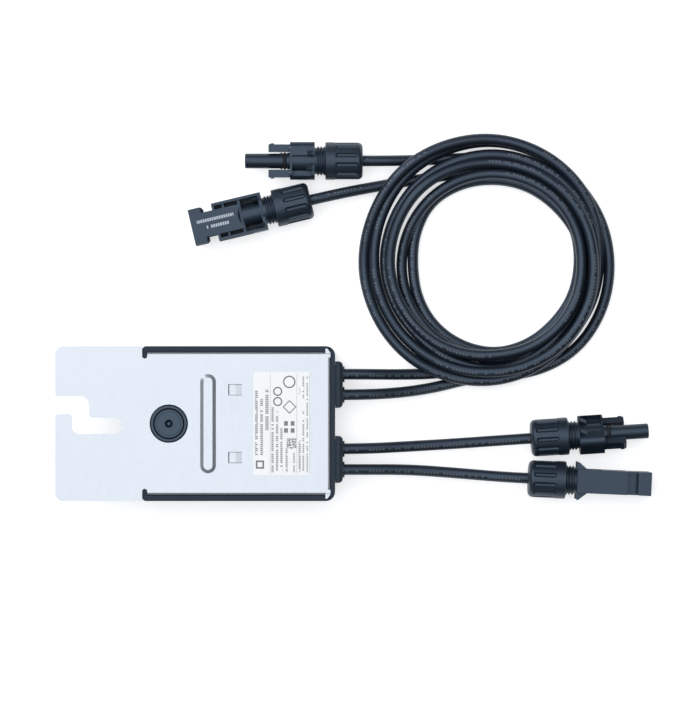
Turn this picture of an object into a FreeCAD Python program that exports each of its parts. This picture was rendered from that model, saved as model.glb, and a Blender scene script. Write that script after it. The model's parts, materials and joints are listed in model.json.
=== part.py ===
"""Module power unit with plug-in leads: a black potted casing under a slotted
metal bracket, two short input leads, two long output leads wound in one flat
coil, and a plug-in connector on the end of each lead.

Frame: +X from the bracket towards the leads, +Y across, +Z up out of the
bracket face.  The origin is at the middle of the unit's underside.
"""
import FreeCAD
import Part

import math
import os

from FreeCAD import Placement, Rotation, Vector

NEAR = 0.01
ABOVE = 50.0

# --- driving dimensions, mm ---------------------------------------------------
UNIT_LENGTH = 140.0
UNIT_WIDTH = 75.0
UNIT_HEIGHT = 28.0

LEFT = -UNIT_LENGTH / 2
HALF_WIDTH = UNIT_WIDTH / 2

SHEET = 1.5
PLATE_TOP = UNIT_HEIGHT - 1.0
PLATE_UNDER = PLATE_TOP - SHEET
PLATE_RIGHT = 63.2
EAR_X0 = 60.8
NOTCH_LEFT = -27.9
NOTCH_WIDTH = 2.5
NOTCH_DEPTH_Y = 31.5
FLANGE_Y = 34.6
FLANGE_BOTTOM = 19.0

SLOT_ENTRY_Y0 = 4.6
SLOT_ENTRY_Y1 = 13.2
SLOT_CROSS_X0 = -62.1
SLOT_CROSS_X1 = -53.5
SLOT_SEAT_Y0 = -5.1
SLOT_SEAT_Y1 = 2.9
SLOT_SEAT_END = -37.7

CASE_LEFT = -28.0
CASE_RIGHT = 65.4
RIM_TOP = 26.2
WALL = 2.7
END_WALL = 2.0
LEFT_WALL = 2.4
FLOOR = 2.5
LEDGE_TOP = 18.8
LEDGE_UNDER = 16.6
LEDGE_Y = 33.0

LID_TOP = 24.8
LID_THICK = 2.0

BUTTON_X = -15.0
BUTTON_RADIUS = 8.9
BOSS_RADIUS = 6.8

BEAD_X = 4.0
BEAD_WIDTH = 7.6
BEAD_CREST = 4.3
BEAD_LENGTH = 48.0

LANCE_X0 = 13.8
LANCE_X1 = 20.5
LANCE_Y = 16.4
LANCE_WIDTH = 5.4
LANCE_STEP = 0.9
LANCE_THICK = 1.1

LABEL_X0 = 25.9
LABEL_X1 = 53.5
LABEL_HALF = 25.0
LABEL_THICK = 0.15

GLAND_OUT = UNIT_LENGTH / 2
GLAND_WIDTH = 22.6
GLAND_HEIGHT = 13.0
GLAND_Z = 12.5
OUTPUT_Y = 18.8
INPUT_Y = -17.7
PAIR_OFFSET = 5.05

CORD_DIAMETER = 5.3
CORD_RADIUS = CORD_DIAMETER / 2
CORD_START = 61.0

BOARD_X0 = -23.0
BOARD_X1 = 58.0
BOARD_HALF = 30.5
BOARD_Z = 8.0
BOARD_TOP = 9.6
POTTING_TOP = 5.6
POST_RADIUS = 3.0
PAD_UNDER = 12.0
PAD_TOP = 13.0
TRANSISTOR_ROWS = (-10.8, -3.6, 3.6, 10.8)
SCREW_SPOTS = [(-19.0, -26.0), (-19.0, 26.0), (42.0, -27.0), (42.0, 27.0)]

NUT_LENGTH = 18.3
NUT_RADIUS = 9.2
NUT_BORE = 7.45
THREAD_RADIUS = 7.1
THREAD_ROOT = 6.4
THREAD_PITCH = 1.5
THREAD_START = 11.9
CORE_BORE = 2.9
CORD_END = 11.0

COLLAR_BACK = 23.5
SLIM_LENGTH = 57.6
WIDE_LENGTH = 59.7
LATCH_PIVOT = 37.5
LATCH_INNER = 4.4
LATCH_OUTER = 8.0
LATCH_HALF = 2.4
CONTACT_BORE = 2.05
PIN_RADIUS = 2.0
NOSE_RADIUS = 3.65
MOUTH_RADIUS = 4.0

AXIS_HEIGHT = 9.3

# name: style, nut's rear face, heading and roll in degrees
CONNECTORS = {
    "output_slim": ("slim", Vector(78.9, 128.2, AXIS_HEIGHT), 180.0, 0.0),
    "output_wide": ("wide", Vector(53.5, 109.1, AXIS_HEIGHT), 193.4, 0.0),
    "input_slim": ("slim", Vector(161.2, -7.6, AXIS_HEIGHT + 0.2), 3.7, -40.0),
    "input_wide": ("wide", Vector(159.9, -27.2, AXIS_HEIGHT), -2.5, 90.0),
}

# the coil lies as a flat ring between two ellipses: centre x, y, half x, half y
COIL_OUTER = (139.7, 79.9, 62.7, 61.5)
COIL_INNER = (144.3, 76.9, 38.3, 40.6)
COIL_HEIGHT = 16.0
COIL_RIM = 2.2

# hand-laid points of each free stretch, from its exit to its far end
INPUT_SLIM_ROUTE = [
    (CORD_START, INPUT_Y + PAIR_OFFSET, GLAND_Z),
    (79.0, INPUT_Y + PAIR_OFFSET, GLAND_Z),
    (101.0, -11.6, 8.4),
    (125.0, -10.2, 7.0),
    (151.2, -8.25, 9.5),
]
INPUT_WIDE_ROUTE = [
    (CORD_START, INPUT_Y - PAIR_OFFSET, GLAND_Z),
    (79.0, INPUT_Y - PAIR_OFFSET, GLAND_Z),
    (101.0, -22.9, 8.4),
    (124.5, -24.6, 7.0),
    (149.9, -26.75, 9.3),
]
UPPER_LEAD_ROUTE = [
    (CORD_START, OUTPUT_Y + PAIR_OFFSET, GLAND_Z),
    (79.0, OUTPUT_Y + PAIR_OFFSET, GLAND_Z),
    (97.5, 23.6, 6.9),
    (114.5, 24.0, 3.0),
    (130.0, 26.2, 2.75),
]
LOWER_LEAD_ROUTE = [
    (CORD_START, OUTPUT_Y - PAIR_OFFSET, GLAND_Z),
    (79.0, OUTPUT_Y - PAIR_OFFSET, GLAND_Z),
    (97.5, 14.7, 6.9),
    (114.5, 17.2, 3.0),
    (131.0, 21.5, 2.75),
]
SLIM_TAIL_ROUTE = [
    (127.0, 129.9, 2.75),
    (107.9, 128.9, 4.4),
    (87.9, 128.2, AXIS_HEIGHT),
]
WIDE_TAIL_ROUTE = [
    (121.0, 121.6, 2.75),
    (102.5, 118.9, 2.75),
    (82.5, 115.4, 4.9),
    (62.25, 111.2, AXIS_HEIGHT),
]


# --- helpers ------------------------------------------------------------------
def box(x0, x1, y0, y1, z0, z1):
    return Part.makeBox(x1 - x0, y1 - y0, z1 - z0, Vector(x0, y0, z0))


def upright(radius, x, y, z0, z1):
    """A cylinder standing along +Z."""
    return Part.makeCylinder(radius, z1 - z0, Vector(x, y, z0))


def rod(radius, x0, x1, y=0.0, z=0.0):
    """A cylinder lying along +X."""
    return Part.makeCylinder(radius, x1 - x0, Vector(x0, y, z), Vector(1, 0, 0))


def tube(outer, inner, x0, x1, y=0.0, z=0.0):
    return rod(outer, x0, x1, y, z).cut(rod(inner, x0 - 1.0, x1 + 1.0, y, z))


def turned(outline):
    """Turn a closed outline of (x, radius) points about the X axis."""
    points = [Vector(x, r, 0) for x, r in outline]
    face = Part.Face(Part.makePolygon(points + [points[0]]))
    return face.revolve(Vector(0, 0, 0), Vector(1, 0, 0), 360)


def slab(outline, z0, z1):
    """Raise a closed outline of (x, y) points from z0 to z1."""
    points = [Vector(x, y, z0) for x, y in outline]
    return Part.Face(Part.makePolygon(points + [points[0]])).extrude(Vector(0, 0, z1 - z0))


def joined(shapes):
    result = shapes[0]
    for shape in shapes[1:]:
        result = result.fuse(shape)
    return result.removeSplitter()


def without(shape, tools):
    for tool in tools:
        shape = shape.cut(tool)
    return shape


def is_upright_at(edge, x, y):
    ends = [v.Point for v in edge.Vertexes]
    return len(ends) == 2 and all(math.hypot(p.x - x, p.y - y) < NEAR for p in ends)


def round_uprights(shape, corners):
    """Round the upright edges that stand at the given (x, y, radius) corners."""
    for x, y, radius in corners:
        edges = [e for e in shape.Edges if is_upright_at(e, x, y)]
        shape = shape.makeFillet(radius, edges)
    return shape


def edges_at(shape, test):
    """The edges whose every vertex passes the test."""
    return [e for e in shape.Edges if e.Vertexes and all(test(v.Point) for v in e.Vertexes)]


def stadium(width, length, x, z):
    """A closed wire: a slot outline that runs along Y about (x, 0)."""
    half, straight = width / 2, (length - width) / 2
    right_top, left_top = Vector(x + half, straight, z), Vector(x - half, straight, z)
    right_low, left_low = Vector(x + half, -straight, z), Vector(x - half, -straight, z)
    arcs = [
        Part.Arc(right_top, Vector(x, length / 2, z), left_top),
        Part.LineSegment(left_top, left_low),
        Part.Arc(left_low, Vector(x, -length / 2, z), right_low),
        Part.LineSegment(right_low, right_top),
    ]
    return Part.Wire([piece.toShape() for piece in arcs])


# --- main unit: casing, lid, bracket, button, label, glands ---------------------
def post_spots():
    return [upright(POST_RADIUS, x, y, FLOOR - 0.5, BOARD_Z) for x, y in SCREW_SPOTS]


def gland_centres():
    return {"output_gland": OUTPUT_Y, "input_gland": INPUT_Y}


def make_casing_tray():
    shell = box(CASE_LEFT, CASE_RIGHT, -HALF_WIDTH, HALF_WIDTH, 0, RIM_TOP)
    corners = [(CASE_RIGHT, s * HALF_WIDTH, 4.4) for s in (-1, 1)]
    corners += [(CASE_LEFT, s * HALF_WIDTH, 2.0) for s in (-1, 1)]
    shell = round_uprights(shell, corners)
    shell = shell.makeFillet(1.8, edges_at(shell, lambda p: abs(p.z) < NEAR))
    inner_left = CASE_LEFT + LEFT_WALL
    inner_right = CASE_RIGHT - END_WALL
    half = HALF_WIDTH - WALL
    cavity = box(inner_left, inner_right, -half, half, FLOOR, RIM_TOP + 1)
    cavity = round_uprights(cavity, [(inner_right, s * half, 2.4) for s in (-1, 1)])
    step = box(CASE_LEFT - 1, inner_left + 0.1, -half, half, PLATE_UNDER - 0.2, ABOVE)
    end_step = box(CASE_LEFT - 1, NOTCH_LEFT + 0.2, -ABOVE, ABOVE, PLATE_UNDER - 0.2, ABOVE)
    ear_steps = [box(EAR_X0 - 0.3, PLATE_RIGHT + 0.2, *sorted((s * (FLANGE_Y - 2.8), s * (FLANGE_Y + 1.9))),
                     PLATE_UNDER - 0.2, ABOVE) for s in (-1, 1)]
    shell = without(shell, [cavity, step, end_step] + ear_steps)
    for centre in gland_centres().values():
        shell = shell.cut(box(CASE_RIGHT - 3, CASE_RIGHT + 1, centre - 9.9, centre + 9.9,
                              GLAND_Z - 5.1, GLAND_Z + 5.1))
    inside = []
    for side in (-1, 1):
        y = side * LEDGE_Y
        inside.append(box(inner_left - 0.2, inner_right - 4.0, y - 2.0, y + 2.0, LEDGE_UNDER, LEDGE_TOP))
    inside += post_spots()
    inside.append(upright(BOSS_RADIUS, BUTTON_X, 0, FLOOR - 0.5, LID_TOP - LID_THICK - 0.1))
    shell = joined([shell] + inside)
    shell = shell.cut(upright(5.3, BUTTON_X, 0, FLOOR + 1.5, ABOVE))
    return without(shell, [upright(1.5, x, y, FLOOR + 0.6, ABOVE) for x, y in SCREW_SPOTS])


def make_casing_lid():
    left, right = CASE_LEFT + LEFT_WALL + 0.2, CASE_RIGHT - END_WALL - 0.2
    half = FLANGE_Y - SHEET - 0.2
    lid = box(left, right, -half, half, LEDGE_TOP, LID_TOP)
    lid = lid.cut(box(left + 1.6, right - 1.6, -half + 1.7, half - 1.7, LEDGE_TOP - 1, LID_TOP - LID_THICK))
    lid = lid.cut(box(right - 3.0, right + 1, -half - 1, half + 1, LEDGE_TOP - 1, GLAND_Z + 7.0))
    return lid.cut(upright(5.9, BUTTON_X, 0, 0, ABOVE))


def hook_slot():
    """The slot that hooks over a mounting bolt: in from the edge, across, then along."""
    left, right, end = SLOT_CROSS_X0, SLOT_CROSS_X1, SLOT_SEAT_END
    entrance = box(LEFT - 2, right, SLOT_ENTRY_Y0, SLOT_ENTRY_Y1, 0, ABOVE)
    across = box(left, right, SLOT_SEAT_Y0, SLOT_ENTRY_Y1, 0, ABOVE)
    seat = box(left, end, SLOT_SEAT_Y0, SLOT_SEAT_Y1, 0, ABOVE)
    corners = [(right, SLOT_ENTRY_Y1, 4.25), (left, SLOT_SEAT_Y0, 3.9), (end, SLOT_SEAT_Y0, 3.95),
               (end, SLOT_SEAT_Y1, 3.95), (right, SLOT_SEAT_Y1, 1.8), (left, SLOT_ENTRY_Y0, 1.5)]
    return round_uprights(joined([entrance, across, seat]), corners)


def is_bend(point, flange_left):
    """Whether a point lies on the bracket's top edge where a side flange bends down."""
    beside = abs(abs(point.y) - FLANGE_Y) < NEAR
    return beside and abs(point.z - PLATE_TOP) < NEAR and point.x > flange_left - NEAR


def make_bracket_plate():
    plate = box(LEFT, NOTCH_LEFT, -HALF_WIDTH, HALF_WIDTH, PLATE_UNDER, PLATE_TOP)
    narrow = box(NOTCH_LEFT - 1, PLATE_RIGHT, -FLANGE_Y, FLANGE_Y, PLATE_UNDER, PLATE_TOP)
    flange_left = NOTCH_LEFT + NOTCH_WIDTH
    flanges = []
    for side in (-1, 1):
        y0, y1 = sorted((side * (FLANGE_Y - SHEET), side * FLANGE_Y))
        flanges.append(box(flange_left, PLATE_RIGHT - 2.6, y0, y1, FLANGE_BOTTOM, PLATE_UNDER + 0.2))
    plate = joined([plate, narrow] + flanges)
    notch_middle = NOTCH_LEFT + NOTCH_WIDTH / 2
    for side in (-1, 1):
        notch_end = side * (NOTCH_DEPTH_Y + NOTCH_WIDTH / 2)
        y0, y1 = sorted((notch_end, side * ABOVE))
        plate = plate.cut(box(NOTCH_LEFT, flange_left, y0, y1, 0, ABOVE))
        plate = plate.cut(upright(NOTCH_WIDTH / 2, notch_middle, notch_end, 0, ABOVE))
    corners = [(LEFT, s * HALF_WIDTH, 4.0) for s in (-1, 1)]
    plate = round_uprights(plate, corners + [(PLATE_RIGHT, s * FLANGE_Y, 2.6) for s in (-1, 1)])
    plate = plate.makeFillet(1.4, edges_at(plate, lambda p: is_bend(p, flange_left)))
    plate = plate.cut(hook_slot())
    plate = round_uprights(plate, [(LEFT, y, 1.4) for y in (SLOT_ENTRY_Y0, SLOT_ENTRY_Y1)])
    crest = Part.makeLoft([stadium(BEAD_WIDTH, BEAD_LENGTH, BEAD_X, PLATE_TOP),
                           stadium(BEAD_CREST, BEAD_LENGTH - 3.3, BEAD_X, UNIT_HEIGHT)], True)
    hollow = Part.makeLoft([stadium(BEAD_WIDTH - 1.6, BEAD_LENGTH - 1.6, BEAD_X, PLATE_UNDER),
                            stadium(BEAD_CREST - 1.6, BEAD_LENGTH - 4.9, BEAD_X, PLATE_UNDER + 1.0)], True)
    plate = plate.fuse(crest).cut(hollow)
    plate = plate.cut(upright(BUTTON_RADIUS + 0.4, BUTTON_X, 0, 0, ABOVE))
    for side in (-1, 1):
        plate = cut_lance(plate, side * LANCE_Y)
        plate = plate.fuse(corner_ear(side))
    return plate.removeSplitter()


def corner_ear(side):
    """A pointed lug where the sheet laps over the casing's rim at a right-hand corner."""
    back, point, tip = EAR_X0, EAR_X0 + 0.9, FLANGE_Y + 1.7
    outline = [(back, FLANGE_Y - 2.6), (back, tip), (point, tip), (PLATE_RIGHT, FLANGE_Y - 0.4),
               (PLATE_RIGHT, FLANGE_Y - 2.6)]
    return slab([(x, side * y) for x, y in outline], PLATE_UNDER, PLATE_TOP)


def cut_lance(plate, y):
    """Cut a window and leave a tab from its right edge, stepped down below the sheet."""
    half = LANCE_WIDTH / 2
    plate = plate.cut(box(LANCE_X0, LANCE_X1, y - half, y + half, 0, ABOVE))
    root, bend, step, tip = LANCE_X1 + 0.5, LANCE_X1 - 0.2, LANCE_X1 - 3.2, LANCE_X0 + 0.4
    low = PLATE_TOP - LANCE_STEP
    under = low - LANCE_THICK
    tab = [(root, PLATE_TOP), (bend, PLATE_TOP), (step, low), (tip, low),
           (tip, under), (step, under), (bend, PLATE_UNDER), (root, PLATE_UNDER)]
    points = [Vector(x, y - half + 0.2, z) for x, z in tab]
    face = Part.Face(Part.makePolygon(points + [points[0]]))
    return plate.fuse(face.extrude(Vector(0, LANCE_WIDTH - 0.4, 0)))


def make_lock_button():
    """A push-in rivet: ringed head, stem, and a split end that snaps into the casing's boss."""
    top = 27.4
    head = upright(BUTTON_RADIUS, BUTTON_X, 0, LID_TOP, top)
    head = head.makeFillet(0.5, edges_at(head, lambda p: p.z > top - NEAR))
    groove = upright(7.4, BUTTON_X, 0, top - 0.5, top + 1).cut(upright(6.9, BUTTON_X, 0, top - 1, top + 2))
    dimple = upright(1.9, BUTTON_X, 0, top - 0.8, top + 1)
    stem = upright(4.9, BUTTON_X, 0, 12.0, LID_TOP + 0.2)
    stem = stem.makeFillet(1.6, edges_at(stem, lambda p: p.z < 12.0 + NEAR))
    split = box(BUTTON_X - 0.9, BUTTON_X + 0.9, -10, 10, 11, 20)
    return without(joined([head, stem]), [groove, dimple, split])


def make_rating_label():
    label = box(LABEL_X0, LABEL_X1, -LABEL_HALF, LABEL_HALF, PLATE_TOP, PLATE_TOP + LABEL_THICK)
    corners = [(x, s * LABEL_HALF, 1.2) for x in (LABEL_X0, LABEL_X1) for s in (-1, 1)]
    return round_uprights(label, corners)


def make_gland(centre):
    """A moulded block that carries two leads through the end wall."""
    lip = 0.8
    face = GLAND_OUT - lip
    low, high = GLAND_Z - GLAND_HEIGHT / 2, GLAND_Z + GLAND_HEIGHT / 2
    half = GLAND_WIDTH / 2
    block = box(CASE_RIGHT + 0.1, face, centre - half, centre + half, low, high)
    block = block.makeFillet(2.2, edges_at(block, lambda p: p.x > face - NEAR))
    inner_face = CASE_RIGHT - END_WALL
    neck = box(inner_face - 0.2, CASE_RIGHT + 0.3, centre - 9.7, centre + 9.7, GLAND_Z - 4.9, GLAND_Z + 4.9)
    flange = box(inner_face - 2.4, inner_face - 0.1, centre - 11.2, centre + 11.2, low, high)
    cords = (centre - PAIR_OFFSET, centre + PAIR_OFFSET)
    lips = [rod(3.9, face - 1.0, GLAND_OUT, y, GLAND_Z) for y in cords]
    gland = joined([block, neck, flange] + lips)
    return without(gland, [rod(CORD_RADIUS + 0.05, 50, 80, y, GLAND_Z) for y in cords])


# --- inside the casing ----------------------------------------------------------
def make_potting_layer():
    left, right = CASE_LEFT + LEFT_WALL, CASE_RIGHT - END_WALL
    half = HALF_WIDTH - WALL - 0.1
    fill = box(left + 0.1, right - 0.1, -half, half, FLOOR, POTTING_TOP)
    fill = round_uprights(fill, [(right - 0.1, s * half, 2.6) for s in (-1, 1)])
    fill = fill.cut(upright(BOSS_RADIUS + 0.1, BUTTON_X, 0, 0, ABOVE))
    return without(fill, [upright(POST_RADIUS + 0.1, x, y, 0, ABOVE) for x, y in SCREW_SPOTS])


def make_circuit_board():
    board = box(BOARD_X0, BOARD_X1, -BOARD_HALF, BOARD_HALF, BOARD_Z, BOARD_TOP)
    corners = [(x, s * BOARD_HALF, 2.0) for x in (BOARD_X0, BOARD_X1) for s in (-1, 1)]
    board = round_uprights(board, corners)
    board = board.cut(upright(BOSS_RADIUS + 0.6, BUTTON_X, 0, 0, ABOVE))
    return without(board, [upright(1.7, x, y, 0, ABOVE) for x, y in SCREW_SPOTS])


def make_board_screws():
    screws = []
    for x, y in SCREW_SPOTS:
        head = upright(2.8, x, y, BOARD_TOP, BOARD_TOP + 2.0)
        head = head.makeFillet(0.8, edges_at(head, lambda p: p.z > BOARD_TOP + 1.9))
        shank = upright(1.4, x, y, 4.0, BOARD_TOP + 0.2)
        driver = joined([box(x - along, x + along, y - across, y + across, BOARD_TOP + 1.2, ABOVE)
                         for along, across in ((1.6, 0.3), (0.3, 1.6))])
        screws.append(joined([head, shank]).cut(driver))
    return Part.makeCompound(screws)


def make_main_inductor():
    """A block ferrite core with a round centre post, and the winding around the post."""
    x, y, base, height = 6.5, 14.0, BOARD_TOP, 12.4
    core = box(x - 14, x + 14, y - 12.5, y + 12.5, base, base + height)
    window = upright(11.6, x, y, base + 2.0, base + height - 2.0)
    throat = box(x - 15, x + 15, y - 6.5, y + 6.5, base + 2.0, base + height - 2.0)
    core = joined([core.cut(window).cut(throat), upright(5.0, x, y, base + 1.5, base + height - 1.5)])
    winding = upright(10.6, x, y, base + 2.5, base + height - 2.5)
    winding = winding.makeFillet(1.2, edges_at(winding, lambda p: True))
    return core, winding.cut(upright(5.4, x, y, 0, ABOVE))


def make_filter_choke():
    """A toroid core standing clear of the board in a wound sleeve."""
    centre = Vector(9.0, -16.0, 14.4)
    ring_radius = 8.6
    core = Part.makeTorus(ring_radius, 2.6, centre)
    turns = []
    for index in range(14):
        angle = 2 * math.pi * index / 14
        outward = Vector(math.cos(angle), math.sin(angle), 0)
        along = Vector(-math.sin(angle), math.cos(angle), 0)
        turns.append(Part.makeTorus(3.6, 0.6, centre + outward * ring_radius, along))
    feet = [upright(0.6, centre.x + s * 4.0, centre.y, BOARD_TOP, centre.z - 3.4) for s in (-1, 1)]
    return core, Part.makeCompound(turns + feet)


def make_capacitors(row_y):
    """Three round capacitors standing in a row, each with a vent cross on its top."""
    cans = []
    for x in (25.0, 33.4, 41.8):
        can = upright(3.8, x, row_y, BOARD_TOP, BOARD_TOP + 11.0)
        can = can.makeFillet(0.5, edges_at(can, lambda p: p.z > BOARD_TOP + 10.9))
        vent = box(x - 2.2, x + 2.2, row_y - 0.2, row_y + 0.2, BOARD_TOP + 10.8, ABOVE)
        cans.append(can.cut(vent))
    return Part.makeCompound(cans)


def make_power_transistors():
    half = 3.0
    return Part.makeCompound([box(26.0, 36.0, y - half, y + half, BOARD_TOP, PAD_UNDER)
                              for y in TRANSISTOR_ROWS])


def make_thermal_pad():
    return box(25.5, 36.5, -14.2, 14.2, PAD_UNDER, PAD_TOP)


def make_heat_spreader():
    """An aluminium block that carries heat from the transistors up to the lid."""
    spreader = box(25.0, 37.0, -14.4, 14.4, PAD_TOP, LID_TOP - LID_THICK)
    return without(spreader, [box(x, x + 1.6, -20, 20, PAD_TOP + 4.0, ABOVE) for x in (27.0, 30.2, 33.4)])


def make_chip(x, y, side, height):
    half = side / 2
    body = box(x - half, x + half, y - half, y + half, BOARD_TOP + 0.2, BOARD_TOP + height)
    pins = []
    for index in range(6):
        middle = x + (index - 2.5) * side / 7
        pins.append(box(middle - 0.3, middle + 0.3, y - half - 1.2, y + half + 1.2,
                        BOARD_TOP, BOARD_TOP + 0.5))
    return joined([body] + pins)


def cord_rows():
    return [centre + side * PAIR_OFFSET for centre in (OUTPUT_Y, INPUT_Y) for side in (-1, 1)]


def make_board_terminals():
    blocks = []
    for y in cord_rows():
        foot = box(47.0, 56.0, y - 3.4, y + 3.4, BOARD_TOP, 15.4)
        blocks.append(foot.cut(upright(1.8, 51.0, y, 13.4, ABOVE)))
    return Part.makeCompound(blocks)


def make_inner_conductors():
    return Part.makeCompound([rod(1.2, 56.0, CORD_START, y, GLAND_Z) for y in cord_rows()])


# --- connectors, in their own frame: +X towards the mating end, nut's rear at 0 ---
def make_cap_nut():
    """A cap nut: smooth front band, twelve grip grooves, and a rounded rear shoulder."""
    outline = [(2.4, 9.0), (13.6, 9.0), (13.6, NUT_RADIUS), (NUT_LENGTH - 0.4, NUT_RADIUS),
               (NUT_LENGTH, NUT_RADIUS - 0.4), (NUT_LENGTH, NUT_BORE), (3.4, NUT_BORE), (3.4, 3.0),
               (0.0, 3.0), (0.0, 6.6)]
    corners = [Vector(x, r, 0) for x, r in outline]
    edges = [Part.LineSegment(a, b).toShape() for a, b in zip(corners, corners[1:])]
    edges.append(Part.Arc(corners[-1], Vector(0.7, 8.3, 0), corners[0]).toShape())
    nut = Part.Face(Part.Wire(edges)).revolve(Vector(0, 0, 0), Vector(1, 0, 0), 360)
    size, back, front, out = 1.25, 3.4, 12.2, 9.35
    grip = joined([rod(size, back, front, out, 0), Part.makeSphere(size, Vector(back, out, 0)),
                   Part.makeSphere(size, Vector(front, out, 0))])
    for index in range(12):
        groove = grip.copy()
        groove.rotate(Vector(0, 0, 0), Vector(1, 0, 0), 15.0 + 30.0 * index)
        nut = nut.cut(groove)
    return nut


def make_clamp_cage():
    """A ring of fingers that the nut squeezes onto the cable seal."""
    cage = turned([(3.6, 4.75), (3.6, 6.6), (4.2, 7.1), (10.4, 7.1), (11.2, 6.4), (11.2, 4.75)])
    for index in range(4):
        slot = box(5.4, 12.0, -0.5, 0.5, -8, 8)
        slot.rotate(Vector(0, 0, 0), Vector(1, 0, 0), 45.0 * index)
        cage = cage.cut(slot)
    return cage


def make_cable_seal():
    outline = [(4.2, CORD_RADIUS + 0.05), (4.2, 4.1)]
    for start in (5.0, 7.4, 9.8):
        outline += [(start, 4.1), (start + 0.3, 4.45), (start + 1.0, 4.45), (start + 1.3, 4.1)]
    outline += [(13.2, 4.1), (13.2, CORD_RADIUS + 0.05)]
    return turned(outline)


def threaded_barrel():
    """The housing's rear barrel, with its thread as rings at the thread's pitch."""
    outline = [(THREAD_START, 4.7), (THREAD_START, THREAD_ROOT)]
    ring = THREAD_START + 0.3
    while ring < COLLAR_BACK - THREAD_PITCH + 0.2:
        outline += [(ring, THREAD_ROOT), (ring + 0.4, THREAD_RADIUS), (ring + 0.8, THREAD_RADIUS)]
        outline.append((ring + 1.2, THREAD_ROOT))
        ring += THREAD_PITCH
    end = COLLAR_BACK + 1.0
    outline += [(end, THREAD_ROOT), (end, CORE_BORE), (15.4, CORE_BORE), (15.4, 4.7)]
    return turned(outline)


def contact_body(end):
    """The crimped barrel and shank shared by both contacts, up to x = end."""
    back = CORD_END + 0.1
    return turned([(back, 0.0), (back, 2.2), (20.0, 2.2), (20.5, 1.9), (25.0, 1.9), (25.0, 2.8),
                   (27.0, 2.8), (27.0, 1.9), (end, 1.9), (end, 0.0)])


def ears(reach, front_reach, width, length, spread):
    """Wedge ribs, a pair above and a pair below, that flare out at the back of the collar."""
    pieces = []
    for side in (-1, 1):
        outline = [(COLLAR_BACK, side * 4.0), (COLLAR_BACK, side * reach), (COLLAR_BACK + 0.8, side * reach),
                   (COLLAR_BACK + length, side * front_reach), (COLLAR_BACK + length, side * 4.0)]
        for y in (-spread, spread):
            points = [Vector(x, y - width / 2, z) for x, z in outline]
            face = Part.Face(Part.makePolygon(points + [points[0]]))
            pieces.append(face.extrude(Vector(0, width, 0)))
    return pieces


def make_slim_housing():
    """Collar with a sunk window on each broad side, then a bare round nose."""
    front = COLLAR_BACK + 12.0
    half_y, half_z = 9.15, 5.9
    collar = box(COLLAR_BACK, front, -half_y, half_y, -half_z, half_z)
    collar = collar.makeFillet(3.2, [e for e in collar.Edges if e.BoundBox.XLength > 1.0])
    for side in (-1, 1):
        y0, y1 = sorted((-side * 2.5, side * 7.6))
        z0, z1 = sorted((side * 2.6, side * 12.0))
        collar = collar.cut(box(COLLAR_BACK + 1.2, front - 1.0, y0, y1, z0, z1))
    core = rod(5.6, COLLAR_BACK, front)
    nose = rod(NOSE_RADIUS, front, SLIM_LENGTH)
    nose = nose.makeFillet(0.5, edges_at(nose, lambda p: p.x > SLIM_LENGTH - NEAR))
    shoulder = rod(4.1, front, 37.0)
    rib = rod(4.1, 39.4, 40.2)
    housing = joined([collar, core, shoulder, nose, rib] + ears(8.0, 5.6, 2.2, 4.0, 3.6))
    for side in (-1, 1):
        y0, y1 = sorted((side * LATCH_INNER, side * LATCH_OUTER))
        saddle = box(front - 0.2, LATCH_PIVOT - 0.2, y0, y1, -LATCH_HALF, LATCH_HALF)
        housing = housing.fuse(saddle.cut(latch_root(side, 0.12)))
    housing = joined([housing.cut(rod(4.0, THREAD_START, COLLAR_BACK + 1.0)), threaded_barrel()])
    groove = tube(6.0, 3.3, 37.2, 39.0)
    return without(housing, [groove, rod(CORE_BORE, 15.0, 60.0)])


def make_slim_contact():
    socket = tube(2.7, CONTACT_BORE, 42.6, SLIM_LENGTH - 0.5)
    return joined([contact_body(43.0), rod(2.7, 40.4, 43.0), socket])


def make_nose_seal():
    return turned([(37.3, 3.35), (37.3, 3.8), (37.8, 4.15), (38.4, 4.15), (38.9, 3.8), (38.9, 3.35)])


def latch_root(side, clearance):
    """The round root that a latch arm bends about, and the room around it."""
    radius = (LATCH_OUTER - LATCH_INNER) / 2
    y = side * (LATCH_INNER + radius)
    return upright(radius + clearance, LATCH_PIVOT, y, -LATCH_HALF - clearance, LATCH_HALF + clearance)


def make_latch_arm(side):
    """A springy side arm: round root by the collar, sunk outer face, barb at the tip."""
    outer, half, tip = LATCH_OUTER, LATCH_HALF, 46.1
    shank = box(LATCH_PIVOT, tip, LATCH_INNER, outer, -half, half)
    barb = slab([(tip - 3.0, outer - 0.2), (tip - 2.6, outer + 0.55), (tip - 1.2, outer + 0.55),
                 (tip, outer - 0.4), (tip - 1.0, outer - 0.6)], -half, half)
    arm = joined([latch_root(1, 0.0), shank, barb])
    arm = arm.cut(box(LATCH_PIVOT + 0.8, tip - 3.4, outer - 0.6, outer + 2.0, 0.9 - half, half - 0.9))
    if side < 0:
        arm = arm.mirror(Vector(0, 0, 0), Vector(0, 1, 0))
    return arm


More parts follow.
